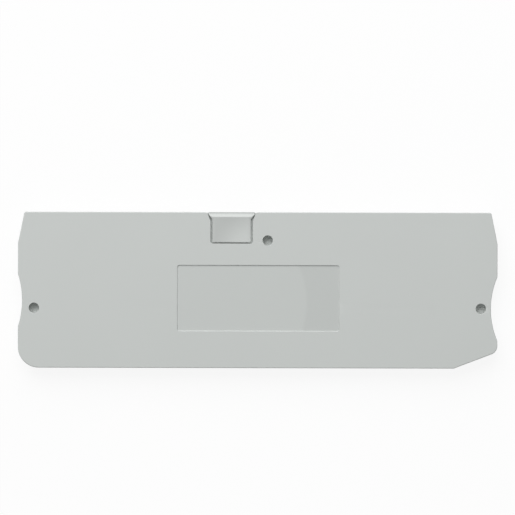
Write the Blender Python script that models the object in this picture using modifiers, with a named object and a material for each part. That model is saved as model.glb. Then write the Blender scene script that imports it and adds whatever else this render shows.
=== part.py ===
"""End cover for a row of terminal blocks, moulded in one piece.

The cover lies as it comes to rest, with its front face up, on the tips of its three pegs. X runs along
its length, Y from its foot to its top edge, and Z out of its front face. The origin is under the middle
of the plate, on the surface that the pegs stand on. All sizes are in metres.
"""

import math

import bmesh
import bpy
from mathutils import Vector

# Plate, hollow behind its front face
LENGTH = 0.0870
HEIGHT = 0.0283
THICKNESS = 0.0022
FACE_WALL = 0.0010
RIM_WALL = 0.0012
FRONT_EDGE_RADIUS = 0.0002

# Shoulders, where both ends lean in towards the top edge
SHOULDER_LEAN = 0.00115
SHOULDER_DROP = 0.0057
SHOULDER_RADIUS = 0.0015
TOP_CORNER_RADIUS = 0.0004

# Foot, round at the left and cut off at a slant at the right
HEEL_RADIUS = 0.0038
TOE_RUN = 0.0079
TOE_RISE = 0.0030
TOE_RADIUS = 0.0016
TOE_START_RADIUS = 0.0006

# Blind holes in the front face, which core out the plate where the pegs stand behind it
HOLE_RADIUS = 0.00093
HOLE_DEPTH = 0.0017
HOLE_EDGE_CHAMFER = 0.00005
END_HOLES_ABOVE_FOOT = 0.01085
LEFT_HOLE_INSET = 0.0029
RIGHT_HOLE_INSET = 0.0030
TOP_HOLE_X = 0.0018
TOP_HOLE_DROP = 0.00515

# Pegs behind the holes, which snap into the terminal block, and the bosses that carry them
PEG_REACH = 0.0015
PEG_RADIUS = 0.0009
PEG_TAPER = 0.00006
PEG_TIP_CHAMFER = 0.0003
BOSS_WALL = 0.00095

# Shallow round notches in both ends
LEFT_NOTCH_SPAN = 0.0095
LEFT_NOTCH_DEPTH = 0.00073
LEFT_NOTCH_RAISE = 0.0014
RIGHT_NOTCH_SPAN = 0.01155
RIGHT_NOTCH_DEPTH = 0.00118
NOTCH_END_RADIUS = 0.0005

# Label field, a shallow recess in the front face
LABEL_LENGTH = 0.0294
LABEL_WIDTH = 0.0120
LABEL_X = 0.0001
LABEL_ABOVE_FOOT = 0.00668
LABEL_DEPTH = 0.00016
LABEL_FLOOR_CHAMFER = 0.0001
LABEL_CORNER_RADIUS = 0.0004

# Knock-out at the top edge, a pad held by a thin web at the floor of the groove round it
KNOCKOUT_X = -0.00476
KNOCKOUT_WIDTH = 0.0077
KNOCKOUT_DROP = 0.00571
KNOCKOUT_CORNER_RADIUS = 0.00035
KNOCKOUT_WEB = 0.00025
GROOVE_WIDTH = 0.0003
MOUTH_GROOVE_WIDTH = 0.00018
MOUTH_FLARE = 0.00043
MOUTH_FLARE_START = 0.00165
MOUTH_FLARE_END = 0.00035
CHANNEL_WALL = 0.0010

# Face of the pad, chamfered all round, with a ramp down to a flat land at the top edge
PAD_SINK = 0.00005
PAD_CHAMFER = 0.0001
PAD_RAMP_RUN = 0.00057
PAD_RAMP_DROP = 0.0003
PAD_LAND = 0.00028

# Ribs behind the front face, a little lower than the rim
RIB_WALL = 0.0008
RIB_SETBACK = 0.0003
LEFT_BAY_RIBS = 2
RIGHT_BAY_RIBS = 2

# Fineness of the round stretches
ARC_STEP = math.radians(9)
NOTCH_STEPS = 12
TURN_STEPS = 32
EDGE_STEPS = 3

# Cutting shapes reach this far past what they cut
PAST = 0.001

# Points closer than this are one point, and faces closer to level than this are one face
SAME_PLACE = 1e-7
SAME_PLANE = math.radians(0.2)
SMOOTH_ANGLE = math.radians(25)

PLASTIC_GREY = (0.552, 0.575, 0.560, 1.0)
PLASTIC_ROUGHNESS = 0.45

BOSS_RADIUS = HOLE_RADIUS + BOSS_WALL

# Levels above the surface that the pegs stand on
MATING_LEVEL = PEG_REACH
FRONT_LEVEL = MATING_LEVEL + THICKNESS
CELL_LEVEL = FRONT_LEVEL - FACE_WALL
WEB_LEVEL = CELL_LEVEL + KNOCKOUT_WEB
PAD_LEVEL = FRONT_LEVEL - PAD_SINK

# Places seen from the front
END_X = LENGTH / 2
TOP_Y = HEIGHT / 2
FOOT_Y = -HEIGHT / 2
END_HOLE_Y = FOOT_Y + END_HOLES_ABOVE_FOOT
HOLES = {
    "left": (-END_X + LEFT_HOLE_INSET, END_HOLE_Y),
    "right": (END_X - RIGHT_HOLE_INSET, END_HOLE_Y),
    "top": (TOP_HOLE_X, TOP_Y - TOP_HOLE_DROP),
}


def moved_in(corners, inset):
    """Corners (x, y, radius) of a closed outline that runs anticlockwise, with its sides moved in."""
    moved = []
    for i, (x, y, radius) in enumerate(corners):
        here = Vector((x, y))
        back = (Vector(corners[i - 1][:2]) - here).normalized()
        ahead = (Vector(corners[(i + 1) % len(corners)][:2]) - here).normalized()
        turn = math.atan2((-back).cross(ahead), (-back).dot(ahead))
        inward = Vector((back.y - ahead.y, ahead.x - back.x)).normalized()
        place = here + inward * inset / math.cos(turn / 2)
        shrink = inset if turn > 0 else -inset
        moved.append((place.x, place.y, max(radius - shrink, 0)))
    return moved


def rounded(corners):
    """Points of the closed outline, with an arc at each corner that has a radius."""
    points = []
    for i, (x, y, radius) in enumerate(corners):
        if radius <= 0:
            points.append((x, y))
            continue
        here = Vector((x, y))
        back = (Vector(corners[i - 1][:2]) - here).normalized()
        ahead = (Vector(corners[(i + 1) % len(corners)][:2]) - here).normalized()
        half = back.angle(ahead) / 2
        centre = here + (back + ahead).normalized() * radius / math.sin(half)
        spoke = here + back * radius / math.tan(half) - centre
        sweep = math.copysign(math.pi - 2 * half, (-back).cross(ahead))
        steps = max(1, round(abs(sweep) / ARC_STEP))
        for k in range(steps + 1):
            sine, cosine = math.sin(sweep * k / steps), math.cos(sweep * k / steps)
            turned = Vector((spoke.x * cosine - spoke.y * sine, spoke.x * sine + spoke.y * cosine))
            points.append(tuple(centre + turned))
    return points


def notch(end_x, middle_y, span, depth, inset):
    """Corners of a round notch in one end, in the anticlockwise order of the plate's outline."""
    radius = (span * span / 4 + depth * depth) / (2 * depth) + inset
    side = math.copysign(1, end_x)
    centre_x = end_x + side * (radius - depth)
    half_angle = math.acos((radius - depth) / radius)
    corners = []
    for k in range(NOTCH_STEPS + 1):
        angle = half_angle * (2 * k / NOTCH_STEPS - 1)
        x = centre_x - side * radius * math.cos(angle)
        y = middle_y + side * radius * math.sin(angle)
        corners.append((x, y, max(NOTCH_END_RADIUS - inset, 0) if k in (0, NOTCH_STEPS) else 0))
    return corners


def plate_outline(inset=0.0):
    """Points of the plate's outline, moved in from its edge."""
    corners = moved_in([
        (-END_X + SHOULDER_LEAN, TOP_Y, TOP_CORNER_RADIUS),
        (-END_X, TOP_Y - SHOULDER_DROP, SHOULDER_RADIUS),
        (-END_X, FOOT_Y, HEEL_RADIUS),
        (END_X - TOE_RUN, FOOT_Y, TOE_START_RADIUS),
        (END_X, FOOT_Y + TOE_RISE, TOE_RADIUS),
        (END_X, TOP_Y - SHOULDER_DROP, SHOULDER_RADIUS),
        (END_X - SHOULDER_LEAN, TOP_Y, TOP_CORNER_RADIUS),
    ], inset)
    left_middle = END_HOLE_Y + LEFT_NOTCH_RAISE
    left = notch(inset - END_X, left_middle, LEFT_NOTCH_SPAN, LEFT_NOTCH_DEPTH, inset)
    right = notch(END_X - inset, END_HOLE_Y, RIGHT_NOTCH_SPAN, RIGHT_NOTCH_DEPTH, inset)
    return rounded(corners[:2] + left + corners[2:5] + right + corners[5:])


def knockout_outline(inset=0.0, mouth_inset=0.0):
    """Points of the knock-out, which flares at its mouth and runs out past the top edge."""
    left = KNOCKOUT_X - KNOCKOUT_WIDTH / 2
    right = KNOCKOUT_X + KNOCKOUT_WIDTH / 2
    bottom = TOP_Y - KNOCKOUT_DROP
    neck = TOP_Y - MOUTH_FLARE_START
    lip = TOP_Y - MOUTH_FLARE_END
    above = TOP_Y + PAST + inset
    wide_left = left - MOUTH_FLARE + mouth_inset - inset
    wide_right = right + MOUTH_FLARE - mouth_inset + inset
    corners = [
        (wide_left, above, 0),
        (wide_left, lip, 0),
        (left, neck, 0),
        (left, bottom, KNOCKOUT_CORNER_RADIUS),
        (right, bottom, KNOCKOUT_CORNER_RADIUS),
        (right, neck, 0),
        (wide_right, lip, 0),
        (wide_right, above, 0),
    ]
    return rounded(moved_in(corners, inset))


def label_outline():
    """Points of the label field's outline."""
    left = LABEL_X - LABEL_LENGTH / 2
    right = LABEL_X + LABEL_LENGTH / 2
    bottom = FOOT_Y + LABEL_ABOVE_FOOT
    top = bottom + LABEL_WIDTH
    places = ((left, top), (left, bottom), (right, bottom), (right, top))
    return rounded([(x, y, LABEL_CORNER_RADIUS) for x, y in places])


def placed(name, mesh, collection, location=(0, 0, 0), rotation=(0, 0, 0)):
    """New object of a mesh."""
    obj = bpy.data.objects.new(name, mesh)
    obj.location = location
    obj.rotation_euler = rotation
    collection.objects.link(obj)
    return obj


def slab(name, outline, low, high, collection, rotation=(0, 0, 0)):
    """Flat outline, filled and extruded from one level to another along its own Z."""
    curve = bpy.data.curves.new(name, "CURVE")
    curve.dimensions = "2D"
    curve.fill_mode = "BOTH"
    curve.extrude = (high - low) / 2
    spline = curve.splines.new("POLY")
    spline.points.add(len(outline) - 1)
    for point, (x, y) in zip(spline.points, outline):
        point.co = (x, y, 0, 1)
    spline.use_cyclic_u = True
    flat = bpy.data.objects.new(name, curve)
    bpy.context.scene.collection.objects.link(flat)
    mesh = bpy.data.meshes.new_from_object(flat.evaluated_get(bpy.context.evaluated_depsgraph_get()))
    bpy.data.objects.remove(flat)
    bpy.data.curves.remove(curve)

    shape = bmesh.new()
    shape.from_mesh(mesh)
    bmesh.ops.translate(shape, verts=shape.verts, vec=(0, 0, (low + high) / 2))
    bmesh.ops.remove_doubles(shape, verts=shape.verts, dist=SAME_PLACE)
    bmesh.ops.dissolve_limit(shape, angle_limit=SAME_PLANE, verts=shape.verts, edges=shape.edges)
    bmesh.ops.recalc_face_normals(shape, faces=shape.faces)
    shape.to_mesh(mesh)
    shape.free()
    return placed(name, mesh, collection, rotation=rotation)


def soften(obj, level, width, segments):
    """Round or chamfer the edges of a slab that lie at one level."""
    shape = bmesh.new()
    shape.from_mesh(obj.data)
    edges = [e for e in shape.edges if all(abs(v.co.z - level) < SAME_PLACE for v in e.verts)]
    bmesh.ops.bevel(shape, geom=edges, offset=width, offset_type="OFFSET", segments=segments,
                    profile=0.5, affect="EDGES", clamp_overlap=True)
    shape.to_mesh(obj.data)
    shape.free()


def turned(name, profile, place, collection):
    """Solid turned about an upright axis, from a profile (radius, z) that runs from its top down."""
    mesh = bpy.data.meshes.new(name)
    mesh.from_pydata([(r, 0, z) for r, z in profile], [(i, i + 1) for i in range(len(profile) - 1)], [])
    obj = placed(name, mesh, collection, location=(*place, 0))
    screw = obj.modifiers.new("turn", "SCREW")
    screw.steps = TURN_STEPS
    screw.render_steps = TURN_STEPS
    screw.use_merge_vertices = True
    screw.merge_threshold = SAME_PLACE
    return obj


def box(name, low, high, collection):
    """Box between two corners."""
    shape = bmesh.new()
    bmesh.ops.create_cube(shape, size=1)
    bmesh.ops.scale(shape, verts=shape.verts, vec=Vector(high) - Vector(low))
    bmesh.ops.translate(shape, verts=shape.verts, vec=(Vector(low) + Vector(high)) / 2)
    mesh = bpy.data.meshes.new(name)
    shape.to_mesh(mesh)
    shape.free()
    return placed(name, mesh, collection)


def combine(obj, operation, other):
    """Cut another shape from an object, or join it on."""
    boolean = obj.modifiers.new(other.name, "BOOLEAN")
    boolean.operation = operation
    boolean.solver = "EXACT"
    boolean.object = other


def shade(obj):
    """Shade the finished shape smooth, apart from its sharp edges."""
    group = bpy.data.node_groups.new("smooth_by_angle", "GeometryNodeTree")
    for side in ("INPUT", "OUTPUT"):
        group.interface.new_socket("Geometry", in_out=side, socket_type="NodeSocketGeometry")
    start = group.nodes.new("NodeGroupInput")
    end = group.nodes.new("NodeGroupOutput")
    angle = group.nodes.new("GeometryNodeInputMeshEdgeAngle")
    gentle = group.nodes.new("FunctionNodeCompare")
    gentle.data_type = "FLOAT"
    gentle.operation = "LESS_THAN"
    gentle.inputs["B"].default_value = SMOOTH_ANGLE
    faces = group.nodes.new("GeometryNodeSetShadeSmooth")
    edges = group.nodes.new("GeometryNodeSetShadeSmooth")
    edges.domain = "EDGE"
    group.links.new(start.outputs[0], faces.inputs["Geometry"])
    group.links.new(faces.outputs[0], edges.inputs["Geometry"])
    group.links.new(angle.outputs["Unsigned Angle"], gentle.inputs["A"])
    group.links.new(gentle.outputs[0], edges.inputs["Shade Smooth"])
    group.links.new(edges.outputs[0], end.inputs[0])
    obj.modifiers.new("smooth_by_angle", "NODES").node_group = group


def bosses(collection):
    """Round posts behind the holes, which carry the pegs."""
    profile = (
        (0, CELL_LEVEL + PAST),
        (BOSS_RADIUS, CELL_LEVEL + PAST),
        (BOSS_RADIUS, MATING_LEVEL - 2 * PAST),
        (0, MATING_LEVEL - 2 * PAST),
    )
    return [turned(f"{side}_boss", profile, place, collection) for side, place in HOLES.items()]


def ribs(collection):
    """Ribs behind the front face: one between the end bosses, the rest across it."""
    low_z = MATING_LEVEL + RIB_SETBACK
    high_z = CELL_LEVEL + PAST
    half = RIB_WALL / 2
    knockout_left = KNOCKOUT_X - KNOCKOUT_WIDTH / 2
    cross_places = [TOP_HOLE_X]
    for k in range(LEFT_BAY_RIBS):
        cross_places.append(-END_X + (knockout_left + END_X) * (k + 1) / (LEFT_BAY_RIBS + 1))
    for k in range(RIGHT_BAY_RIBS):
        cross_places.append(TOP_HOLE_X + (END_X - TOP_HOLE_X) * (k + 1) / (RIGHT_BAY_RIBS + 1))
    shapes = [box("long_rib", (-END_X, END_HOLE_Y - half, low_z), (END_X, END_HOLE_Y + half, high_z),
                  collection)]
    for x in cross_places:
        shapes.append(box("cross_rib", (x - half, FOOT_Y, low_z), (x + half, TOP_Y, high_z), collection))
    return shapes


def gusset(collection):
    """Solid between the top boss and the wall round the knock-out, which would leave a thin cleft."""
    x, y = HOLES["top"]
    low = (x - 2 * BOSS_RADIUS, TOP_Y - KNOCKOUT_DROP - CHANNEL_WALL, MATING_LEVEL - 2 * PAST)
    return box("gusset", low, (x, y + BOSS_RADIUS, CELL_LEVEL + PAST), collection)


def hollow(collection):
    """Room behind the front face, inside the rim and round the bosses, the ribs and the knock-out."""
    room = slab("hollow", plate_outline(RIM_WALL), MATING_LEVEL - PAST, CELL_LEVEL, collection)
    surround = slab("knockout_surround", knockout_outline(-CHANNEL_WALL, -CHANNEL_WALL),
                    MATING_LEVEL - 2 * PAST, CELL_LEVEL + PAST, collection)
    for shape in [surround, gusset(collection), *bosses(collection), *ribs(collection)]:
        combine(room, "DIFFERENCE", shape)
    return room


def pad(collection):
    """Face of the knock-out, with chamfered sides and a ramp down to a land at the top edge."""
    face = slab("pad", knockout_outline(GROOVE_WIDTH, MOUTH_GROOVE_WIDTH), CELL_LEVEL, PAD_LEVEL, collection)
    soften(face, PAD_LEVEL, PAD_CHAMFER, 1)
    land_y = TOP_Y - PAD_LAND
    land_level = PAD_LEVEL - PAD_RAMP_DROP
    steepness = PAD_RAMP_DROP / PAD_RAMP_RUN
    section = [
        (land_y - PAD_RAMP_RUN - PAST / steepness, PAD_LEVEL + PAST),
        (land_y, land_level),
        (TOP_Y + 2 * PAST, land_level),
        (TOP_Y + 2 * PAST, PAD_LEVEL + PAST),
    ]
    reach = KNOCKOUT_WIDTH / 2 + MOUTH_FLARE + PAST
    ramp = slab("pad_ramp", section, KNOCKOUT_X - reach, KNOCKOUT_X + reach, collection,
                rotation=(math.pi / 2, 0, math.pi / 2))
    combine(face, "DIFFERENCE", ramp)
    return face


def knockout_groove(collection):
    """Groove round the pad and the space over it."""
    groove = slab("knockout_groove", knockout_outline(), WEB_LEVEL, FRONT_LEVEL + PAST, collection)
    combine(groove, "DIFFERENCE", pad(collection))
    return groove


def knockout_channel(collection):
    """Way out behind the knock-out, which lets it break away."""
    return slab("knockout_channel", knockout_outline(), MATING_LEVEL - PAST, CELL_LEVEL, collection)


def label_field(collection):
    """Shallow recess for a label."""
    floor_level = FRONT_LEVEL - LABEL_DEPTH
    field = slab("label_field", label_outline(), floor_level, FRONT_LEVEL + PAST, collection)
    soften(field, floor_level, LABEL_FLOOR_CHAMFER, 1)
    return field


def holes(collection):
    """Blind holes with chamfered mouths."""
    profile = (
        (0, FRONT_LEVEL + PAST),
        (HOLE_RADIUS + HOLE_EDGE_CHAMFER + PAST, FRONT_LEVEL + PAST),
        (HOLE_RADIUS, FRONT_LEVEL - HOLE_EDGE_CHAMFER),
        (HOLE_RADIUS, FRONT_LEVEL - HOLE_DEPTH),
        (0, FRONT_LEVEL - HOLE_DEPTH),
    )
    return [turned(f"{side}_hole", profile, place, collection) for side, place in HOLES.items()]


def pegs(collection):
    """Pegs on the bosses, rooted under the floors of the holes and a little thinner at their tips."""
    tip_radius = PEG_RADIUS - PEG_TAPER
    root_level = MATING_LEVEL + (THICKNESS - HOLE_DEPTH) / 2
    profile = (
        (0, root_level),
        (PEG_RADIUS, root_level),
        (PEG_RADIUS, MATING_LEVEL),
        (tip_radius, PEG_TIP_CHAMFER),
        (tip_radius - PEG_TIP_CHAMFER, 0),
        (0, 0),
    )
    return [turned(f"{side}_peg", profile, place, collection) for side, place in HOLES.items()]


def plastic():
    """Light grey moulded plastic with a satin face."""
    material = bpy.data.materials.new("light_grey_plastic")
    material.use_nodes = True
    shader = material.node_tree.nodes["Principled BSDF"]
    shader.inputs["Base Color"].default_value = PLASTIC_GREY
    shader.inputs["Roughness"].default_value = PLASTIC_ROUGHNESS
    shader.inputs["Metallic"].default_value = 0.0
    return material


def end_cover(collection, shapes):
    """The whole cover: the plate, with its hollows cut and its pegs joined on."""
    cover = slab("end_cover", plate_outline(), MATING_LEVEL, FRONT_LEVEL, collection)
    soften(cover, FRONT_LEVEL, FRONT_EDGE_RADIUS, EDGE_STEPS)
    combine(cover, "DIFFERENCE", hollow(shapes))
    combine(cover, "DIFFERENCE", knockout_channel(shapes))
    combine(cover, "DIFFERENCE", knockout_groove(shapes))
    combine(cover, "DIFFERENCE", label_field(shapes))
    for peg in pegs(shapes):
        combine(cover, "UNION", peg)
    for hole in holes(shapes):
        combine(cover, "DIFFERENCE", hole)
    shade(cover)
    cover.data.materials.append(plastic())
    return cover


def main():
    """Clear the scene and build the cover."""
    for obj in list(bpy.data.objects):
        bpy.data.objects.remove(obj)
    parts = bpy.data.collections.new("terminal_block_end_cover")
    shapes = bpy.data.collections.new("cutters_and_joined_shapes")
    for collection in (parts, shapes):
        bpy.context.scene.collection.children.link(collection)
    end_cover(parts, shapes)
    for shape in shapes.objects:
        shape.hide_render = True
        shape.display_type = "WIRE"
    bpy.context.view_layer.update()


main()
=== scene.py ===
"""Looks of a terminal block end cover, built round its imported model.

The cover lies face up on its three pegs: X along its length, Y from its foot to the edge with the
knock-out, and Z out of its front face. All sizes are in metres.
"""

import logging
import math
from dataclasses import dataclass
from enum import Enum
from functools import partial
from itertools import pairwise
from typing import Callable, Iterable, Sequence

import bmesh
import bpy
from bmesh.types import BMEdge, BMEdgeSeq, BMesh, BMFace, BMFaceSeq, BMVertSeq
from bpy.types import Material, Mesh, Node, NodeSocket, NodeTree, Object
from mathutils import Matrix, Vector


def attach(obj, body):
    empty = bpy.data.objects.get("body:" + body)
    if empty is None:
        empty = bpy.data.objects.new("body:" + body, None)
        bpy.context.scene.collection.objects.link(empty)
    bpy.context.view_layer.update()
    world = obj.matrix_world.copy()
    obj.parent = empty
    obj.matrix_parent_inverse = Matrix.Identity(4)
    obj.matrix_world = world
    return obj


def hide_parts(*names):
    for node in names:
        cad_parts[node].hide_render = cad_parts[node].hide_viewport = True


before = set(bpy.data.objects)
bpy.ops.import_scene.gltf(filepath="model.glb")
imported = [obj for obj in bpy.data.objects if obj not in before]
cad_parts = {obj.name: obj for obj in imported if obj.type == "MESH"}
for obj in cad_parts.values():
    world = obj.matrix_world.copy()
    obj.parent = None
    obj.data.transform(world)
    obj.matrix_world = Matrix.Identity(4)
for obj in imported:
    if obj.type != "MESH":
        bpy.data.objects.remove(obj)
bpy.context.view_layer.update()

log = logging.getLogger("end_cover")

# Cutting shapes reach this far past what they cut
PAST = 0.001

# Points closer than the first are one, faces that meet at less than the second are one, and a face whose
# corners lie further than the third from its plane is split
SAME_PLACE = 1e-7
SAME_PLANE = math.radians(0.1)
NOT_FLAT = 2e-8

# Fineness of round stretches, and the smallest radius that is still drawn as an arc
ARC_STEP = math.radians(5)
LEAST_RADIUS = 0.000005
TURN_STEPS = 72

# Edges that turn more than this are sharp
SHARP_ANGLE = math.radians(36)

# A face is level where its normal's Z is past the first, and upright where it is under the second
LEVEL_NORMAL = 0.999
UPRIGHT_NORMAL = 0.02

# Colour sockets of a mix node: its two inputs and its output
MIX_FIRST, MIX_SECOND, MIX_RESULT = 6, 7, 2
WHITE = (1, 1, 1, 1)

Ring = tuple["Outline", float]
Profile = list[tuple[float, float]]
Inputs = dict[str | int, object]


class Join(Enum):
    """How a second solid is put together with the first."""

    ADD = "UNION"
    TAKE = "DIFFERENCE"


class End(Enum):
    """An end of the cover, by the side of the front view it is on."""

    LEFT = -1
    RIGHT = 1


@dataclass(frozen=True)
class Turn:
    """Corner of an outline before it is rounded, with its radius, or 0 where it stays sharp."""

    x: float
    y: float
    radius: float = 0.0

    @property
    def place(self) -> Vector:
        """The corner as a flat vector."""
        return Vector((self.x, self.y))


@dataclass(frozen=True)
class Outline:
    """Closed flat outline, given by its corners in anticlockwise order."""

    turns: tuple[Turn, ...]

    def sides(self, index: int) -> tuple[Vector, Vector]:
        """Directions from a corner back along the outline and ahead.

        Args:
            index: Which corner.

        Returns:
            Two flat unit vectors, back first.
        """
        here = self.turns[index].place
        before = self.turns[index - 1].place
        after = self.turns[(index + 1) % len(self.turns)].place
        return (before - here).normalized(), (after - here).normalized()

    def moved_in(self, inset: float, least: float = LEAST_RADIUS) -> "Outline":
        """Parallel outline with the same number of points.

        Args:
            inset: How far the sides move in, or out where it is below 0.
            least: Radius that a rounded corner keeps at least.

        Returns:
            The new outline.
        """
        moved = []
        for index, turn in enumerate(self.turns):
            back, ahead = self.sides(index)
            angle = math.atan2((-back).cross(ahead), (-back).dot(ahead))
            inward = Vector((back.y - ahead.y, ahead.x - back.x)).normalized()
            place = turn.place + inward * inset / math.cos(angle / 2)
            # Inwards, the arc of a convex corner gets smaller and that of a hollow one larger
            radius = 0.0
            if turn.radius:
                radius = max(turn.radius - math.copysign(inset, inset * angle), least)
            moved.append(Turn(place.x, place.y, radius))
        return Outline(tuple(moved))

    def foot(self, level: float, radius: float, steps: int) -> list[Ring]:
        """Rings that round the lower edge of a solid, up from its end at a level."""
        return [(self.moved_in(inset), level + drop) for inset, drop in reversed(quarter(radius, steps))]

    def head(self, level: float, radius: float, steps: int) -> list[Ring]:
        """Rings that round the upper edge of a solid, up to its end at a level."""
        return [(self.moved_in(inset), level - drop) for inset, drop in quarter(radius, steps)]

    def mouth(self, level: float, radius: float, steps: int) -> list[Ring]:
        """Rings that round the mouth of a recess outwards at a level, and run on past it."""
        rings = [(self.moved_in(-inset), level - drop) for inset, drop in quarter(radius, steps)]
        return [*rings, (self.moved_in(-radius), level + PAST)]

    def draw(self, shape: BMesh, level: float) -> list[BMEdge]:
        """Draw the outline, with an arc spun at each rounded corner.

        Args:
            shape: The mesh that it is drawn in.
            level: Its height.

        Returns:
            Its edges.
        """
        known = set(shape.edges)
        first = last = None
        for index, turn in enumerate(self.turns):
            back, ahead = self.sides(index)
            half = back.angle(ahead) / 2
            start = turn.place + back * turn.radius / math.tan(half)
            vert = shape.verts.new((*start, level))
            if last:
                shape.edges.new((last, vert))
            first = first or vert
            last = vert
            if not turn.radius:
                continue
            centre = turn.place + (back + ahead).normalized() * turn.radius / math.sin(half)
            sweep = math.copysign(math.pi - 2 * half, (-back).cross(ahead))
            arc = bmesh.ops.spin(shape, geom=[vert], cent=(*centre, level), axis=(0, 0, 1), angle=sweep,
                                 steps=max(1, round(abs(sweep) / ARC_STEP)), use_merge=False)
            last = next(v for v in arc["geom_last"] if isinstance(v, bmesh.types.BMVert))
        shape.edges.new((last, first))
        return [edge for edge in shape.edges if edge not in known]


def quarter(radius: float, steps: int) -> Profile:
    """Pairs (inset, drop) of a quarter circle on an edge, from the full drop to the full inset."""
    return [(radius * (1 - math.cos(angle)), radius * (1 - math.sin(angle)))
            for angle in evenly(0, math.pi / 2, steps)]


def warped(face: BMFace) -> bool:
    """Whether the corners of a face don't lie in one plane."""
    centre = face.calc_center_median()
    return any(abs((vert.co - centre).dot(face.normal)) > NOT_FLAT for vert in face.verts)


def opened(mesh: Mesh) -> BMesh:
    """Shape to work on, made from a mesh.

    Args:
        mesh: The mesh, which is removed.

    Returns:
        The shape.
    """
    shape = bmesh.new()
    shape.from_mesh(mesh)
    bpy.data.meshes.remove(mesh)
    return shape


def sort_parts(parts: BMVertSeq | BMEdgeSeq | BMFaceSeq, key: Callable[..., Sequence[float]]) -> None:
    """Put the points, edges or faces of a shape in the order of a key."""
    ranks = {part: rank for rank, part in enumerate(sorted(parts, key=key))}
    parts.sort(key=ranks.get)


def put_in_order(shape: BMesh) -> None:
    """Sort a shape's parts by their places, because a bevel leaves them in another order each run.

    Args:
        shape: The shape.
    """
    sort_parts(shape.verts, lambda vert: tuple(vert.co))
    shape.verts.index_update()
    for parts in (shape.edges, shape.faces):
        sort_parts(parts, lambda part: sorted(vert.index for vert in part.verts))


def stored(shape: BMesh, name: str) -> Mesh:
    """Mesh of a shape.

    Args:
        shape: The shape, which is freed.
        name: Name of the mesh.

    Returns:
        The mesh.
    """
    mesh = bpy.data.meshes.new(name)
    shape.to_mesh(mesh)
    shape.free()
    return mesh


def finished(shape: BMesh, name: str) -> Mesh:
    """Mesh of a closed shape, with doubles merged, warped faces split and all faces turned outwards.

    Args:
        shape: The shape, which is freed.
        name: Name of the mesh.

    Returns:
        The mesh.
    """
    bmesh.ops.remove_doubles(shape, verts=shape.verts, dist=SAME_PLACE)
    bmesh.ops.recalc_face_normals(shape, faces=shape.faces)
    bmesh.ops.triangulate(shape, faces=[face for face in shape.faces if warped(face)])
    return stored(shape, name)


def block(low: Vector, high: Vector) -> BMesh:
    """Box between two corners.

    Args:
        low: Its lowest corner.
        high: Its highest corner.

    Returns:
        The box as a shape to work on.
    """
    shape = bmesh.new()
    bmesh.ops.create_cube(shape, size=1)
    bmesh.ops.scale(shape, verts=shape.verts, vec=high - low)
    bmesh.ops.translate(shape, verts=shape.verts, vec=(low + high) / 2)
    return shape


def evenly(start: float, end: float, parts: int) -> list[float]:
    """Places that part a stretch evenly, with both its ends."""
    return [start + (end - start) * k / parts for k in range(parts + 1)]


def top_of(edge: BMEdge) -> Vector:
    """Place of an edge's upper end."""
    return max(edge.verts, key=lambda vert: vert.co.z).co


def pillar(radius: float, low: float, high: float) -> Profile:
    """Profile of a straight round pillar."""
    return [(0, high), (radius, high), (radius, low), (0, low)]


def lofted(name: str, rings: Sequence[Ring]) -> Mesh:
    """Solid that runs through outlines at their levels, closed at both ends.

    Args:
        name: Name of the mesh.
        rings: Outlines with their levels, all with the same number of points.

    Returns:
        The mesh.
    """
    shape = bmesh.new()
    drawn = [outline.draw(shape, level) for outline, level in rings]
    for lower, upper in pairwise(drawn):
        bmesh.ops.bridge_loops(shape, edges=lower + upper)
    for edges in (drawn[0], drawn[-1]):
        bmesh.ops.edgeloop_fill(shape, edges=edges)
    return finished(shape, name)


def upright(name: str, outline: Outline, low: float, high: float) -> Mesh:
    """Straight solid with the same outline from one level to another."""
    return lofted(name, [(outline, low), (outline, high)])


def turned(name: str, profile: Profile, place: tuple[float, float]) -> Mesh:
    """Solid spun about an upright axis.

    Args:
        name: Name of the mesh.
        profile: Pairs (radius, level) that start and end on the axis.
        place: Where the axis stands.

    Returns:
        The mesh.
    """
    shape = bmesh.new()
    verts = [shape.verts.new((radius, 0, level)) for radius, level in profile]
    edges = [shape.edges.new(pair) for pair in pairwise(verts)]
    bmesh.ops.spin(shape, geom=verts + edges, cent=(0, 0, 0), axis=(0, 0, 1), angle=math.tau,
                   steps=TURN_STEPS, use_merge=True)
    bmesh.ops.translate(shape, verts=shape.verts, vec=(*place, 0))
    return finished(shape, name)


def placed(name: str, data: bpy.types.ID) -> Object:
    """Object in the scene.

    Args:
        name: Its name.
        data: Its mesh, lamp or camera.

    Returns:
        The object.
    """
    obj = bpy.data.objects.new(name, data)
    bpy.context.scene.collection.objects.link(obj)
    return obj


def combined(base: Mesh, how: Join, others: Iterable[Mesh]) -> Mesh:
    """Cut or join solids one after another, and merge the double points that this leaves.

    Args:
        base: The solid that is worked on.
        how: Whether the others are cut away or joined on.
        others: The other solids, which are removed.

    Returns:
        A new mesh.
    """
    result, name = base, base.name
    for other in others:
        pair = [placed(mesh.name, mesh) for mesh in (result, other)]
        boolean = pair[0].modifiers.new(how.name, "BOOLEAN")
        boolean.operation = how.value
        boolean.solver = "EXACT"
        boolean.object = pair[1]
        depsgraph = bpy.context.evaluated_depsgraph_get()
        joined = bpy.data.meshes.new_from_object(pair[0].evaluated_get(depsgraph))
        for obj in pair:
            bpy.data.objects.remove(obj)
        for mesh in (result, other):
            bpy.data.meshes.remove(mesh)
        shape = opened(joined)
        bmesh.ops.remove_doubles(shape, verts=shape.verts, dist=SAME_PLACE)
        result = stored(shape, name)
    return result


def rounded_edges(shape: BMesh, edges: Sequence[BMEdge], width: float, segments: int,
                  clamp: bool = True) -> None:
    """Round edges of a shape; clamped, they all get narrower where one would overlap another."""
    bmesh.ops.bevel(shape, geom=list(edges), offset=width, offset_type="OFFSET", segments=segments,
                    profile=0.5, affect="EDGES", clamp_overlap=clamp, material=-1)


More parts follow.
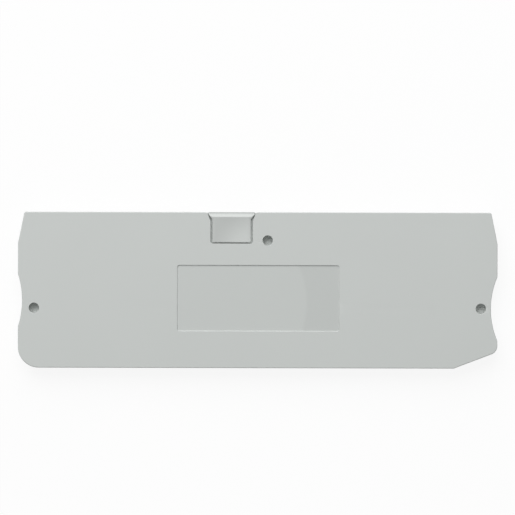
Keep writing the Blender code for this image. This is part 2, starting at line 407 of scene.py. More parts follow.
def cut_across(shape: BMesh, axis: int, places: Iterable[float],
               chooses: Callable[[BMFace], bool] | None = None) -> None:
    """Cut lines into the faces of a shape, square to X or Y.

    Args:
        shape: The shape.
        axis: 0 where the lines are square to X, and 1 to Y.
        places: Where the lines are.
        chooses: Says of a face whether it is cut, if not all are.
    """
    normal = Vector((axis == 0, axis == 1, 0))
    for place in places:
        chosen = [face for face in shape.faces if chooses is None or chooses(face)]
        parts = {part for face in chosen for part in (*face.verts, *face.edges, face)}
        bmesh.ops.bisect_plane(shape, geom=list(parts), dist=SAME_PLACE, plane_co=normal * place,
                               plane_no=normal)


def bump(distance: float) -> float:
    """Smooth hump that is 1 in its middle and 0 from a distance of 1 on."""
    return (1 - distance * distance) ** 2 if abs(distance) < 1 else 0.0


@dataclass(frozen=True)
class Wiring:
    """Nodes of a material or of the world."""

    tree: NodeTree

    def fed(self, name: str, inputs: Inputs) -> Node:
        """Set and link the inputs of a node.

        Args:
            name: The node's name.
            inputs: Values, or sockets that are linked, by the input's name or place.

        Returns:
            The node.
        """
        node = self.tree.nodes[name]
        for key, value in inputs.items():
            if isinstance(value, NodeSocket):
                self.tree.links.new(value, node.inputs[key])
            else:
                node.inputs[key].default_value = value
        return node

    def added(self, kind: str, inputs: Inputs, **settings: str) -> Node:
        """Add a node.

        Args:
            kind: Its type.
            inputs: As for fed.
            settings: Its settings.

        Returns:
            The node.
        """
        node = self.tree.nodes.new(f"ShaderNode{kind}")
        for name, value in settings.items():
            setattr(node, name, value)
        return self.fed(node.name, inputs)

    def place(self) -> NodeSocket:
        """Place in the piece's own coordinates."""
        return self.added("TexCoord", {}).outputs["Object"]

    def noise(self, size: float, detail: float) -> NodeSocket:
        """Noise on the piece, with patches of a size and some finer layers."""
        inputs = {"Vector": self.place(), "Scale": 1 / size, "Detail": detail}
        return self.added("TexNoise", inputs).outputs["Fac"]

    def mixed(self, share: NodeSocket, first: object, second: object) -> NodeSocket:
        """Mix of two colours, with a share of the second."""
        inputs = {"Factor": share, MIX_FIRST: first, MIX_SECOND: second}
        return self.added("Mix", inputs, data_type="RGBA").outputs[MIX_RESULT]

    def white_for_camera(self) -> NodeSocket:
        """1 for rays that show a surround, from the camera, in gloss or through glass.

        Returns:
            The value's socket.
        """
        path = self.added("LightPath", {})
        value = path.outputs["Is Camera Ray"]
        for name in ("Is Glossy Ray", "Is Transmission Ray"):
            value = self.added("Math", {0: value, 1: path.outputs[name]}, operation="MAXIMUM").outputs[0]
        return value


@dataclass(frozen=True)
class Levels:
    """Heights above the surface that the pegs stand on, with the thickness of the plate and its face."""

    mating: float = 0.0015
    thickness: float = 0.0022
    face_wall: float = 0.0010

    @property
    def front(self) -> float:
        """Front face."""
        return self.mating + self.thickness

    @property
    def cells(self) -> float:
        """Floors of the cells behind the front face."""
        return self.front - self.face_wall

    @property
    def past_room(self) -> tuple[float, float]:
        """Span of a solid that the room goes round, past both of the room's ends."""
        return self.mating - 2 * PAST, self.cells + PAST


@dataclass(frozen=True)
class Notch:
    """Shallow round notch in an end of the plate, whose middle lies a rise above the end holes."""

    end: End
    rise: float
    span: float
    depth: float
    corner_radius: float = 0.0005
    steps: int = 36

    def turns(self, half_length: float, holes_y: float) -> list[Turn]:
        """Corners along the notch, in the order of the outline.

        Args:
            half_length: Half the plate's length.
            holes_y: Place of the end holes across the cover.

        Returns:
            The corners, the outer ones rounded.
        """
        radius = (self.span * self.span / 4 + self.depth * self.depth) / (2 * self.depth)
        half_angle = math.acos((radius - self.depth) / radius)
        places = []
        for angle in evenly(-half_angle, half_angle, self.steps):
            x = half_length + radius * (1 - math.cos(angle)) - self.depth
            y = holes_y + self.rise + self.end.value * radius * math.sin(angle)
            places.append((self.end.value * x, y))
        first, *between, last = places
        return [Turn(*first, self.corner_radius), *(Turn(*place) for place in between),
                Turn(*last, self.corner_radius)]


@dataclass
class CoreHoles:
    """Blind holes in the front face, which core out the plate in front of its pegs."""

    levels: Levels
    radius: float = 0.00093
    depth: float = 0.0017
    mouth_radius: float = 0.00004
    floor_radius: float = 0.00008
    arc_steps: int = 3
    left_x: float = -0.0406
    right_x: float = 0.0405
    end_y: float = -0.0033
    top_x: float = 0.0018
    top_y: float = 0.0090

    @property
    def places(self) -> dict[str, tuple[float, float]]:
        """Where the holes are."""
        return {"left": (self.left_x, self.end_y), "right": (self.right_x, self.end_y),
                "top": (self.top_x, self.top_y)}

    def at_each(self, kind: str, profile: Profile) -> list[Mesh]:
        """Solid of a kind, spun about the axis of each hole."""
        return [turned(f"{name}_{kind}", profile, place) for name, place in self.places.items()]

    def cutters(self) -> list[Mesh]:
        """Cutting shapes of the holes, with rounded mouths and floors.

        Returns:
            One for each hole.
        """
        front = self.levels.front
        floor = front - self.depth
        mouth = [(self.radius + inset, front - drop)
                 for inset, drop in quarter(self.mouth_radius, self.arc_steps)]
        rim = self.radius + self.mouth_radius
        bottom = [(self.radius - inset, floor + drop)
                  for inset, drop in quarter(self.floor_radius, self.arc_steps)]
        profile = [(0, front + PAST), (rim, front + PAST), *reversed(mouth), *bottom, (0, floor)]
        return self.at_each("hole", profile)


@dataclass
class Plate:
    """The flat body, with leaning shoulders, a round heel, a slanted toe and a notch in each end."""

    levels: Levels
    holes: CoreHoles
    length: float = 0.0870
    height: float = 0.0283
    front_radius: float = 0.00015
    front_steps: int = 5
    back_radius: float = 0.00008
    back_steps: int = 2
    shoulder_lean: float = 0.00115
    shoulder_drop: float = 0.0057
    shoulder_radius: float = 0.0015
    top_corner_radius: float = 0.0004
    heel_radius: float = 0.0038
    toe_run: float = 0.0079
    toe_rise: float = 0.0030
    toe_radius: float = 0.0016
    toe_start_radius: float = 0.0006
    left_notch: Notch = Notch(End.LEFT, 0.0014, 0.0095, 0.00073)
    right_notch: Notch = Notch(End.RIGHT, 0.0, 0.01155, 0.00118)

    @property
    def end(self) -> float:
        """Half the length."""
        return self.length / 2

    @property
    def top(self) -> float:
        """Place of the top edge."""
        return self.height / 2

    def outline(self) -> Outline:
        """Outline of the plate.

        Returns:
            The outline at its full size.
        """
        drop = self.top - self.shoulder_drop
        top_x = self.end - self.shoulder_lean
        return Outline((
            Turn(-top_x, self.top, self.top_corner_radius),
            Turn(-self.end, drop, self.shoulder_radius),
            *self.left_notch.turns(self.end, self.holes.end_y),
            Turn(-self.end, -self.top, self.heel_radius),
            Turn(self.end - self.toe_run, -self.top, self.toe_start_radius),
            Turn(self.end, self.toe_rise - self.top, self.toe_radius),
            *self.right_notch.turns(self.end, self.holes.end_y),
            Turn(self.end, drop, self.shoulder_radius),
            Turn(top_x, self.top, self.top_corner_radius),
        ))

    def solid(self) -> Mesh:
        """The plate in the full, with its front and back edges rounded."""
        outline = self.outline()
        return lofted("end_cover_moulding", [
            *outline.foot(self.levels.mating, self.back_radius, self.back_steps),
            *outline.head(self.levels.front, self.front_radius, self.front_steps),
        ])


@dataclass
class Pegs:
    """Round pegs behind the holes, a little thinner at their tips, with a fillet at their roots."""

    levels: Levels
    holes: CoreHoles
    radius: float = 0.0009
    taper: float = 0.00006
    tip_radius: float = 0.00028
    root_radius: float = 0.00015
    root_sink: float = 0.000004
    arc_steps: int = 5

    def solids(self) -> list[Mesh]:
        """Pegs, rooted in the middle of what is left under the holes.

        Returns:
            One for each hole.
        """
        mating = self.levels.mating
        root = mating + (self.levels.thickness - self.holes.depth) / 2
        tip = self.radius - self.taper
        fillet = [(self.radius + drop, mating + self.root_sink - inset)
                  for inset, drop in quarter(self.root_radius, self.arc_steps)]
        end = [(tip - inset, drop) for inset, drop in quarter(self.tip_radius, self.arc_steps)]
        foot = self.radius + self.root_radius
        profile = [(0, root), (foot, root), *fillet, *end, (0, 0)]
        return self.holes.at_each("peg", profile)


@dataclass
class LabelField:
    """Shallow recess for a label, polished on its floor."""

    levels: Levels
    length: float = 0.0294
    width: float = 0.0120
    x: float = 0.0001
    bottom: float = -0.00747
    depth: float = 0.00016
    corner_radius: float = 0.0004
    floor_radius: float = 0.00012
    floor_steps: int = 4
    mouth_radius: float = 0.00003
    mouth_steps: int = 2

    @property
    def floor(self) -> float:
        """Level of its floor."""
        return self.levels.front - self.depth

    def outline(self) -> Outline:
        """Outline of its walls."""
        places = [(self.x + side * self.length / 2, self.bottom + rise * self.width)
                  for side, rise in ((-1, 1), (-1, 0), (1, 0), (1, 1))]
        return Outline(tuple(Turn(x, y, self.corner_radius) for x, y in places))

    def cutter(self) -> Mesh:
        """Cutting shape with a rounded floor edge and a rounded mouth."""
        outline = self.outline()
        return lofted("label_field", [
            *outline.foot(self.floor, self.floor_radius, self.floor_steps),
            *outline.mouth(self.levels.front, self.mouth_radius, self.mouth_steps),
        ])

    def holds(self, face: BMFace) -> bool:
        """Whether a face is part of its floor."""
        centre = face.calc_center_median()
        return (abs(centre.x - self.x) < self.length / 2
                and abs(centre.y - self.bottom - self.width / 2) < self.width / 2
                and abs(centre.z - self.floor) < self.floor_radius)


@dataclass
class Knockout:
    """Pad at the top edge that breaks out: a groove round it, a thin web under it, a channel behind."""

    levels: Levels
    top: float
    x: float = -0.00476
    width: float = 0.0077
    drop: float = 0.0057
    corner_radius: float = 0.00035
    neck_radius: float = 0.0003
    web: float = 0.00018
    groove: float = 0.00036
    foot_groove: float = 0.00017
    mouth_groove: float = 0.00012
    flare: float = 0.00046
    flare_start: float = 0.00162
    flare_end: float = 0.00042
    corner_run: float = 0.0006
    corner_drop: float = 0.00014
    mouth_radius: float = 0.00003
    mouth_steps: int = 2
    channel_wall: float = 0.0010
    pad_sink: float = 0.00005
    pad_radius: float = 0.00006
    pad_corner_radius: float = 0.00018
    pad_flare_start: float = 0.00128
    pad_steps: int = 4
    dish: float = 0.00006
    side_run: float = 0.00038
    side_drop: float = 0.00005
    ramp_run: float = 0.00053
    ramp_drop: float = 0.0002
    land: float = 0.00034
    ramp_softness: float = 0.0001
    ramp_steps: int = 6
    mesh_step: float = 0.0003

    def sides(self, inset: float, foot_inset: float, mouth_inset: float, corner: float,
              neck: float) -> Outline:
        """Outline of the knock-out, which flares at its mouth and runs out past the top edge.

        Args:
            inset: How far its sides move in.
            foot_inset: How far its foot moves in.
            mouth_inset: How far its sides move in at the mouth.
            corner: Radius of its lower corners.
            neck: How far under the top edge it starts to flare.

        Returns:
            The outline.
        """
        narrow, wide = self.width / 2 - inset, self.width / 2 + self.flare - mouth_inset
        right = (
            (narrow, self.top - self.drop + foot_inset, corner),
            (narrow, self.top - neck, self.neck_radius),
            (wide, self.top - self.flare_end, 0),
            (wide, self.top + 2 * PAST, 0),
        )
        left = tuple((-x, y, radius) for x, y, radius in reversed(right))
        return Outline(tuple(Turn(self.x + x, y, radius) for x, y, radius in left + right))

    def outline(self) -> Outline:
        """Outer outline of the groove."""
        return self.sides(0, 0, 0, self.corner_radius, self.flare_start)

    def pad_outline(self) -> Outline:
        """Outline of the pad."""
        return self.sides(self.groove, self.foot_groove, self.mouth_groove, self.pad_corner_radius,
                          self.pad_flare_start)

    @property
    def pad_foot(self) -> float:
        """Place of the pad's lower edge."""
        return self.top - self.drop + self.foot_groove

    @property
    def ramp_start(self) -> float:
        """Place where the ramp starts."""
        return self.top - self.land - self.ramp_run

    def sunk(self, place: Vector) -> float:
        """How far the pad's face lies under its highest level.

        Args:
            place: A point of the pad.

        Returns:
            The depth there of its dish, and of its ramp or sloped sides.
        """
        start = self.ramp_start
        middle = (self.pad_foot + self.pad_radius + start) / 2
        along = (place.y - middle) / (start - middle)
        aside = self.half_width(place.y) - self.pad_radius - abs(place.x - self.x)
        across = (place.x - self.x) / (self.width / 2 - self.groove - self.side_run)
        soft = self.ramp_softness
        slope = self.ramp_drop / self.ramp_run
        ramp = 0.0
        if place.y > start - soft:
            past = place.y - start
            ramp = slope * ((past + soft) ** 2 / (4 * soft) if past < soft else past)
        hollow = self.dish * max(1 - across * across, 0) * max(1 - along * along, 0)
        side = self.side_drop * min(max(1 - aside / self.side_run, 0), 1)
        return hollow + max(side, min(ramp, self.ramp_drop))

    def half_width(self, y: float) -> float:
        """Half the pad's width at a place across the cover.

        Args:
            y: The place.

        Returns:
            The half width.
        """
        narrow = self.width / 2 - self.groove
        wide = self.width / 2 + self.flare - self.mouth_groove
        share = (y - self.top + self.pad_flare_start) / (self.pad_flare_start - self.flare_end)
        return narrow + (wide - narrow) * min(max(share, 0), 1)

    def grid(self) -> tuple[list[float], list[float]]:
        """Lines that are cut into the pad, so that its face can be shaped.

        Returns:
            Places of the lines square to X, and of those square to Y.
        """
        step, reach = self.mesh_step, self.width / 2 + self.flare
        along = [self.x - reach + step * (k + 0.5) for k in range(int(2 * reach / step))]
        across = [self.top - self.drop + step * (k + 0.5) for k in range(int(self.drop / step))]
        edge = self.width / 2 - self.groove - self.pad_radius - self.side_run
        start, soft = self.ramp_start, self.ramp_softness
        bend = evenly(start - soft, start + soft, self.ramp_steps)
        return [*along, self.x - edge, self.x + edge], [*across, *bend, self.top - self.land]

    def pad(self) -> Mesh:
        """The pad, with rounded sides, a dished face and a ramp down to a land at the top edge.

        Returns:
            The mesh.
        """
        side = self.pad_outline()
        face = self.levels.front - self.pad_sink
        rings = side.head(face, self.pad_radius, self.pad_steps)
        shape = opened(lofted("pad", [(side, self.levels.cells), *rings]))
        for axis, places in enumerate(self.grid()):
            cut_across(shape, axis, places)
        for vert in shape.verts:
            if vert.co.z > face - self.pad_radius - SAME_PLACE:
                vert.co.z -= self.sunk(vert.co)
        return finished(shape, "pad")

    def cutter(self) -> Mesh:
        """Cutting shape of the groove and of the space over the pad.

        Returns:
            The mesh.
        """
        outline = self.outline()
        web = (outline, self.levels.cells + self.web)
        mouth = outline.mouth(self.levels.front, self.mouth_radius, self.mouth_steps)
        return combined(lofted("groove", [web, *mouth]), Join.TAKE, [self.pad()])

    def slots(self) -> list[Mesh]:
        """Cuts through the plate where the groove meets the top edge, whose corners fall away there.

        Returns:
            One for each side of the pad.
        """
        made = []
        for end in End:
            outer = self.x + end.value * (self.width / 2 + self.flare)
            inner = outer - end.value * self.mouth_groove
            away = outer + end.value * 2 * self.corner_run
            low, high, above = self.top - self.corner_drop, self.top + self.corner_drop, self.top + PAST
            places = ((away, above), (away, high), (outer, low), (inner, low), (inner, above))
            turns = tuple(Turn(x, y) for x, y in places)
            outline = Outline(turns if end is End.LEFT else turns[::-1])
            made.append(upright("slot", outline, self.levels.mating - PAST, self.levels.front + PAST))
        return made

    def holds(self, face: BMFace) -> bool:
        """Whether a face is on the pad's dished part."""
        centre = face.calc_center_median()
        return (abs(centre.x - self.x) < self.width / 2 - self.groove
                and self.pad_foot < centre.y < self.ramp_start
                and centre.z > self.levels.front - self.pad_sink - self.side_drop - self.dish)

    def channel(self) -> Mesh:
        """Way out behind the knock-out."""
        return upright("channel", self.outline(), self.levels.mating - PAST, self.levels.cells)

    def surround(self) -> Mesh:
        """Wall round the channel, as a solid that keeps the room behind the face away from it."""
        outline = self.outline().moved_in(-self.channel_wall, self.neck_radius)
        return upright("surround", outline, *self.levels.past_room)


@dataclass
class Back:
    """Room behind the front face, inside a rim, with ribs across it and posts behind the holes."""

    levels: Levels
    plate: Plate
    holes: CoreHoles
    knockout: Knockout
    rim_wall: float = 0.0012
    post_wall: float = 0.00095
    rib_wall: float = 0.0008
    rib_draft: float = 0.00005
    rib_setback: float = 0.0003
    side_ribs: int = 2
    corner_radius: float = 0.0003
    root_radius: float = 0.00018
    clear_run: float = 0.00042
    arc_steps: int = 3
    pin_radius: float = 0.0009
    pin_depth: float = 0.00004
    pin_rows: tuple[float, float] = (-0.0085, 0.0045)

    @property
    def post_radius(self) -> float:
        """Radius of the posts."""
        return self.holes.radius + self.post_wall

    def rib(self, low: Vector, high: Vector) -> Mesh:
        """Straight rib, a little thinner at its edge than at its root.

        Args:
            low: Lowest corner.
            high: Highest corner.

        Returns:
            The mesh.
        """
        shape = block(low, high)
        axis = 1 if high.x - low.x > high.y - low.y else 0
        middle = (low[axis] + high[axis]) / 2
        for vert in shape.verts:
            if vert.co.z < (low.z + high.z) / 2:
                vert.co[axis] -= math.copysign(self.rib_draft, vert.co[axis] - middle)
        return finished(shape, "rib")

    def rib_places(self) -> list[float]:
        """Places of the ribs that run across the cover.

        Returns:
            The places along the cover, from left to right.
        """
        edge = self.knockout.x - self.knockout.width / 2
        hole = self.holes.places["top"][0]
        left = evenly(-self.plate.end, edge, self.side_ribs + 1)[1:-1]
        return left + evenly(hole, self.plate.end, self.side_ribs + 1)[:-1]

    def ribs(self) -> list[Mesh]:
        """The long rib between the end holes and the ribs across it.

        Returns:
            The meshes, the long rib first.
        """
        low, high = self.levels.mating + self.rib_setback, self.levels.cells + PAST
        half, y = self.rib_wall / 2, self.holes.end_y
        end, top = self.plate.end, self.plate.top
        corners = [((-end, y - half, low), (end, y + half, high))]
        corners += [((x - half, -top, low), (x + half, top, high)) for x in self.rib_places()]
        return [self.rib(Vector(near), Vector(far)) for near, far in corners]

    def posts(self) -> list[Mesh]:
        """Round posts behind the holes."""
        return self.holes.at_each("post", pillar(self.post_radius, *self.levels.past_room))

    def gusset(self) -> Mesh:
        """Solid between the top post and the wall round the knock-out, which would leave a thin cleft.

        Returns:
            The mesh.
        """
        x, y = self.holes.places["top"]
        foot = self.knockout.top - self.knockout.drop - self.knockout.channel_wall
        low, high = self.levels.past_room
        near, far = (x - 2 * self.post_radius, foot, low), (x, y + self.post_radius, high)
        return finished(block(Vector(near), Vector(far)), "gusset")

    def ceilings(self, shape: BMesh) -> list[BMFace]:
        """Top faces of the room's cells."""
        return [face for face in shape.faces if abs(face.normal.z) > LEVEL_NORMAL
                and abs(face.calc_center_median().z - self.levels.cells) < SAME_PLACE]

    def corners(self, ceiling: BMFace) -> tuple[list[BMEdge], list[BMEdge]]:
        """Upright edges of one cell.

        Args:
            ceiling: Top face of the cell.

        Returns:
            The sharp convex ones and the gentle ones.
        """
        around = set(ceiling.edges)
        sharp, gentle = [], []
        for vert in ceiling.verts:
            for edge in vert.link_edges:
                if edge in around or abs(edge.verts[0].co.z - edge.verts[1].co.z) < self.rib_setback:
                    continue
                if edge.calc_face_angle() < SHARP_ANGLE:
                    gentle.append(edge)
                elif edge.is_convex:
                    sharp.append(edge)
        return sharp, gentle

    def room(self) -> Mesh:
        """Cutting shape of the room, with its corners and the roots of its walls rounded.

        Returns:
            The mesh.
        """
        inner = self.plate.outline().moved_in(self.rim_wall, self.corner_radius)
        full = upright("room", inner, self.levels.mating - PAST, self.levels.cells)
        kept = [self.knockout.surround(), self.gusset(), *self.posts(), *self.ribs()]
        shape = opened(combined(full, Join.TAKE, kept))
        bmesh.ops.dissolve_limit(shape, angle_limit=SAME_PLANE, verts=shape.verts, edges=shape.edges)
        # Gentle edges close to a corner would narrow its rounding, so they go first
        for ceiling in self.ceilings(shape):
            sharp, gentle = self.corners(ceiling)
            tops = [top_of(edge) for edge in sharp]
            close = [edge for edge in gentle
                     if any((top_of(edge) - top).length < self.clear_run for top in tops)]
            bmesh.ops.dissolve_edges(shape, edges=close, use_verts=True)
        for ceiling in self.ceilings(shape):
            rounded_edges(shape, self.corners(ceiling)[0], self.corner_radius, self.arc_steps)
        for ceiling in self.ceilings(shape):
            rounded_edges(shape, ceiling.edges, self.root_radius, self.arc_steps)
        return finished(shape, "room")

    def pin_marks(self) -> list[Mesh]:
        """Faint round marks that the ejector pins leave on the floors of every second pair of cells.

        Returns:
            A cutting shape for each mark.
        """
        profile = pillar(self.pin_radius, self.levels.mating, self.levels.cells + self.pin_depth)
        walls = [-self.plate.end, *self.rib_places(), self.plate.end]
        middles = [(left + right) / 2 for left, right in pairwise(walls)]
        return [turned("pin_mark", profile, (x, y)) for x in middles[::2] for y in self.pin_rows]


@dataclass
class ReadThrough:
    """Faint sink in the front face over the long rib, where the thick root shrank as it cooled."""

    levels: Levels
    holes: CoreHoles
    half_width: float = 0.0011
    depth: float = 0.000012
    stretches: tuple[tuple[float, float], ...] = ((0.0145, 0.0325), (-0.0205, -0.0148))
    rows: int = 6
    column: float = 0.0015

    def beside(self, face: BMFace, stretch: tuple[float, float]) -> bool:
        """Whether a face is on the front and reaches over a stretch of the rib.

        Args:
            face: The face.
            stretch: Where the stretch starts and ends.

        Returns:
            Whether it is and does.
        """
        xs, ys, zs = zip(*(vert.co for vert in face.verts))
        y = self.holes.end_y
        return (all(abs(z - self.levels.front) < SAME_PLACE for z in zs)
                and min(xs) < stretch[1] and max(xs) > stretch[0]
                and min(ys) < y + self.half_width and max(ys) > y - self.half_width)

    def press(self, shape: BMesh) -> None:
        """Sink the front face along the rib.

        Args:
            shape: The whole cover.
        """
        y = self.holes.end_y
        rows = evenly(y - self.half_width, y + self.half_width, self.rows)
        for start, end in self.stretches:
            beside = partial(self.beside, stretch=(start, end))
            columns = evenly(start, end, math.ceil((end - start) / self.column))
            cut_across(shape, 0, columns, beside)
            cut_across(shape, 1, rows, beside)
            middle, half = (start + end) / 2, (end - start) / 2
            for vert in shape.verts:
                if abs(vert.co.z - self.levels.front) < SAME_PLACE:
                    across = bump((vert.co.y - y) / self.half_width)
                    vert.co.z -= self.depth * across * bump((vert.co.x - middle) / half)


@dataclass(frozen=True)
class PolishAndPaintedShade:
    """Gain in roughness, and a factor of painted shade on the colour, that set in between two distances
    from a centre.
    """

    centre: tuple[float, float, float]
    start: float
    end: float
    roughness: float
    # Factor that the colour is multiplied by away from the centre: painted shade, not the moulding's own
    # colour
    tone: float

    def changed(self, nodes: Wiring, value: float) -> NodeSocket:
        """Value that goes from 0 at the centre to the given one away from it.

        Args:
            nodes: What it is added to.
            value: The value away from the centre.

        Returns:
            The value's socket.
        """
        away = nodes.added("VectorMath", {0: nodes.place(), 1: self.centre}, operation="DISTANCE")
        change = nodes.added("MapRange", {
            "Value": away.outputs["Value"],
            "From Min": self.start,
            "From Max": self.end,
            "To Max": value,
        }, interpolation_type="SMOOTHSTEP")
        return change.outputs["Result"]


@dataclass(frozen=True)
class Polyamide:
    """Light grey moulded polyamide, as its own nodes give it, with its colour in linear light.

    Attributes:
        roughness: Its lowest and highest roughness.
        grain: Height of its grain.
        tone_spread: How far the colour wanders, as a share.
        tone: Size of the patches of tone, and how many finer layers they have.
        sheen: Size and layers of the patches of roughness.
        sheen_range: What the noise behind these mostly lies between.
        grit: Size and layers of the grain.
    """

    name: str
    colour: tuple[float, float, float]
    roughness: tuple[float, float]
    grain: float
    polish_and_shade: PolishAndPaintedShade | None = None
    tone_spread: float = 0.012
    tone: tuple[float, float] = (0.011, 3)
    sheen: tuple[float, float] = (0.004, 4)
    sheen_range: tuple[float, float] = (0.3, 0.7)
    grit: tuple[float, float] = (0.00016, 2)
    ior: float = 1.53

    def shade(self, factor: float) -> tuple[float, ...]:
        """The colour, darker or lighter by a factor."""
        return (*(channel * factor for channel in self.colour), 1)

    def material(self) -> Material:
        """The finish as a material.

        Returns:
            The material.
        """
        material = bpy.data.materials.new(self.name)
        material.use_nodes = True
        nodes = Wiring(material.node_tree)
        darkest, palest = self.shade(1 - self.tone_spread), self.shade(1 + self.tone_spread)
        tone = nodes.mixed(nodes.noise(*self.tone), darkest, palest)
        sheen = nodes.added("MapRange", {
            "Value": nodes.noise(*self.sheen),
            "From Min": self.sheen_range[0],
            "From Max": self.sheen_range[1],
            "To Min": self.roughness[0],
            "To Max": self.roughness[1],
        })
        roughness = sheen.outputs["Result"]
        if self.polish_and_shade:
            # Painted shade: away from the polish's centre the colour is multiplied by its factor, standing
            # in for light and shade
            tone = nodes.mixed(self.polish_and_shade.changed(nodes, 1.0), tone, self.shade(self.polish_and_shade.tone))
            gain = self.polish_and_shade.changed(nodes, self.polish_and_shade.roughness)
            roughness = nodes.added("Math", {0: gain, 1: roughness}, operation="ADD").outputs[0]
        grain = nodes.noise(*self.grit)
        relief = nodes.added("Bump", {"Strength": 1.0, "Distance": self.grain, "Height": grain})
        nodes.fed("Principled BSDF", {
            "IOR": self.ior,
            "Base Color": tone,
            "Roughness": roughness,
            "Normal": relief.outputs["Normal"],
        })
        return material


SATIN = Polyamide("satin_grey_polyamide", (0.552, 0.575, 0.560), (0.49, 0.55), 0.0000012)
# Label field: its colour is painted 3% darker than the satin face, and its right end a further 5% darker
# with a curved edge, as painted reflection of the lamp in its polished floor
LABEL_POLISH_AND_PAINTED_SHADE = Polyamide("polished_label_field_painted_shade", (0.535, 0.558, 0.543), (0.46, 0.50), 0.0000005,
                         PolishAndPaintedShade((-0.0068, -0.0023, 0.0035), 0.0153, 0.0161, -0.02, 0.95))
# Knock-out pad: its colour is painted up to 14.5% darker away from a point near its lower right, as painted
# shade of its dish lit from the upper left
PAD_POLISH_AND_PAINTED_SHADE = Polyamide("polished_knockout_pad_painted_shade", (0.552, 0.575, 0.560), (0.48, 0.52), 0.0000005,
                       PolishAndPaintedShade((-0.0020, 0.0090, 0.0036), 0.0, 0.0058, -0.04, 0.855))
FINISHES = (SATIN, LABEL_POLISH_AND_PAINTED_SHADE, PAD_POLISH_AND_PAINTED_SHADE)


@dataclass
class Moulding:
    """The whole cover, moulded in one piece."""

    plate: Plate
    label: LabelField
    knockout: Knockout
    edge_radius: float = 0.00007
    edge_steps: int = 2
    face_weight: int = 100
    same_area: float = 1e-8

    def solid(self) -> Mesh:
        """The cover as solids that are cut and joined.

        Returns:
            The mesh.
        """
        levels, holes = self.plate.levels, self.plate.holes
        back = Back(levels, self.plate, holes, self.knockout)
        behind = [back.room(), self.knockout.channel(), *back.pin_marks()]
        front = [self.knockout.cutter(), *self.knockout.slots(), self.label.cutter()]
        mesh = combined(self.plate.solid(), Join.TAKE, behind + front)
        mesh = combined(mesh, Join.ADD, Pegs(levels, holes).solids())
        return combined(mesh, Join.TAKE, holes.cutters())

    def room_edges(self, shape: BMesh) -> list[BMEdge]:
        """Edges of the mating face round the room, where they run in closed loops.

        Args:
            shape: The whole cover.

        Returns:
            The edges.
        """
        mating, chosen = self.plate.levels.mating, set()
        for edge in shape.edges:
            low, high = sorted(face.normal.z for face in edge.link_faces)
            if (edge.is_convex and low < -LEVEL_NORMAL and abs(high) < UPRIGHT_NORMAL
                    and all(abs(vert.co.z - mating) < SAME_PLACE for vert in edge.verts)):
                chosen.add(edge)
        loose = True
        while loose:
            loose = {edge for edge in chosen
                     if any(sum(other in chosen for other in vert.link_edges) != 2 for vert in edge.verts)}
            chosen -= loose
        return [edge for edge in shape.edges if edge in chosen]

    def finish(self, face: BMFace) -> Polyamide:
        """Which finish a face of the cover has."""
        other = PAD_POLISH_AND_PAINTED_SHADE if self.knockout.holds(face) else SATIN
        return LABEL_POLISH_AND_PAINTED_SHADE if self.label.holds(face) else other

    def refined(self, solid: Mesh) -> Mesh:
        """The cover with the edges of its room rounded, its sink pressed in and its finishes set.

        Args:
            solid: The cover before that, which is removed.

        Returns:
            The mesh.
        """
        shape = opened(solid)
        rounded_edges(shape, self.room_edges(shape), self.edge_radius, self.edge_steps, clamp=False)
        ReadThrough(self.plate.levels, self.plate.holes).press(shape)
        for face in shape.faces:
            face.material_index = FINISHES.index(self.finish(face))
        open_edges = sum(not edge.is_manifold for edge in shape.edges)
        log.info("%d open edges, %.4f cm3", open_edges, shape.calc_volume() * 1e6)
        put_in_order(shape)
        return stored(shape, "end_cover_moulding")

    def build(self) -> Object:
        """Build the cover and dress it.

        Returns:
            The finished piece.
        """
        mesh = self.refined(self.solid())
        for finish in FINISHES:
            mesh.materials.append(finish.material())
        mesh.shade_smooth()
        mesh.set_sharp_from_angle(angle=SHARP_ANGLE)
        piece = placed("end_cover_moulding", mesh)
        shading = piece.modifiers.new("even_faces", "WEIGHTED_NORMAL")
        shading.keep_sharp = True
        shading.weight = self.face_weight
        shading.thresh = self.same_area
        return piece


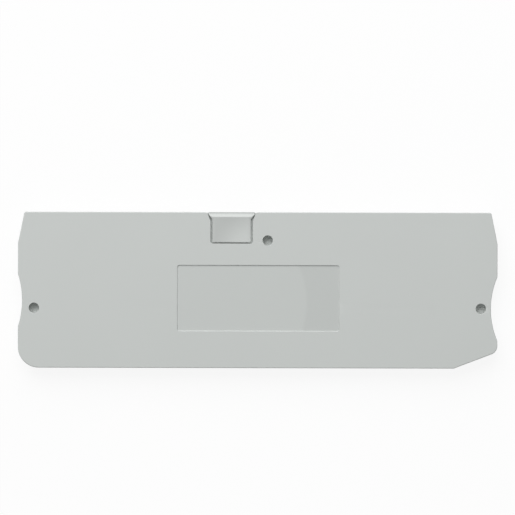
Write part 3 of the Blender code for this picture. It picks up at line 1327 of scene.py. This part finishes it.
@dataclass
class Studio:
    """Pale floor, a white surround, and a large soft lamp past the top edge and a little to the left."""

    floor_radius: float = 3.0
    floor_sides: int = 96
    floor_colour: tuple[float, float, float] = (0.93, 0.93, 0.93)
    floor_roughness: float = 0.9
    floor_glow: float = 0.90
    key_power: float = 10.45
    key_size: float = 0.9
    key_distance: float = 0.9
    key_tilt: float = 46.0
    key_turn: float = 15.0
    fill: float = 0.22

    def floor(self) -> None:
        """Pale floor that keeps a soft shadow."""
        shape = bmesh.new()
        bmesh.ops.create_circle(shape, cap_ends=True, radius=self.floor_radius, segments=self.floor_sides)
        floor = placed("floor", stored(shape, "floor"))
        material = bpy.data.materials.new("pale_floor")
        material.use_nodes = True
        nodes = Wiring(material.node_tree)
        shader = nodes.fed("Principled BSDF", {
            "Base Color": (*self.floor_colour, 1),
            "Roughness": self.floor_roughness,
            "Specular IOR Level": 0.0,
        })
        glow = nodes.added("Emission", {"Strength": 1.0})
        white = nodes.added("Math", {0: nodes.white_for_camera(), 1: self.floor_glow}, operation="MULTIPLY")
        mix = nodes.added("MixShader", {0: white.outputs[0], 1: shader.outputs[0], 2: glow.outputs[0]})
        nodes.fed("Material Output", {"Surface": mix.outputs[0]})
        floor.data.materials.append(material)

    def key(self) -> None:
        """Large soft lamp that faces the cover."""
        data = bpy.data.lights.new("key", "AREA")
        data.shape = "SQUARE"
        data.size = self.key_size
        data.energy = self.key_power
        lamp = placed("key", data)
        tilt, turn = math.radians(self.key_tilt), math.radians(self.key_turn)
        way = Vector((-math.sin(tilt) * math.sin(turn), math.sin(tilt) * math.cos(turn), math.cos(tilt)))
        lamp.location = way * self.key_distance
        lamp.rotation_mode = "QUATERNION"
        lamp.rotation_quaternion = way.to_track_quat("Z", "Y")

    def surround(self) -> None:
        """Soft even fill, seen as white."""
        world = bpy.data.worlds.new("surround")
        world.use_nodes = True
        nodes = Wiring(world.node_tree)
        fill = nodes.fed("Background", {"Strength": self.fill, "Color": WHITE})
        seen = nodes.added("Background", {"Strength": 1.0, "Color": WHITE})
        white = nodes.white_for_camera()
        mix = nodes.added("MixShader", {0: white, 1: fill.outputs[0], 2: seen.outputs[0]})
        nodes.fed("World Output", {"Surface": mix.outputs[0]})
        bpy.context.scene.world = world

    def build(self) -> None:
        """Build the floor, the lamp and the surround."""
        self.floor()
        self.key()
        self.surround()


@dataclass
class ProductCamera:
    """Long lens straight over the cover."""

    levels: Levels
    lens: float = 200.0
    sensor: float = 36.0
    view_width: float = 0.09342
    x: float = -0.00005
    y: float = 0.00592
    roll: float = 0.14
    clip_start: float = 0.01
    clip_end: float = 20.0

    def build(self) -> None:
        """Build the camera, set for the front face, and make it the scene's."""
        data = bpy.data.cameras.new("product_camera")
        data.lens = self.lens
        data.sensor_width = self.sensor
        data.clip_start = self.clip_start
        data.clip_end = self.clip_end
        camera = placed("product_camera", data)
        distance = self.view_width / self.sensor * self.lens
        camera.location = (self.x, self.y, self.levels.front + distance)
        camera.rotation_euler = (0, 0, math.radians(self.roll))
        bpy.context.scene.camera = camera


def main() -> None:
    """Build the cover, the studio and the camera."""
    logging.basicConfig(level=logging.INFO, format="%(name)s: %(message)s")
    bpy.context.scene.view_settings.view_transform = "Standard"
    levels = Levels()
    ProductCamera(levels).build()
    Studio().build()
    plate = Plate(levels, CoreHoles(levels))
    piece = Moulding(plate, LabelField(levels), Knockout(levels, plate.top)).build()
    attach(piece, "root")
    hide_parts("end_cover")
    log.info("%s: %d faces", piece.name, len(piece.data.polygons))


if __name__ == "__main__":
    main()
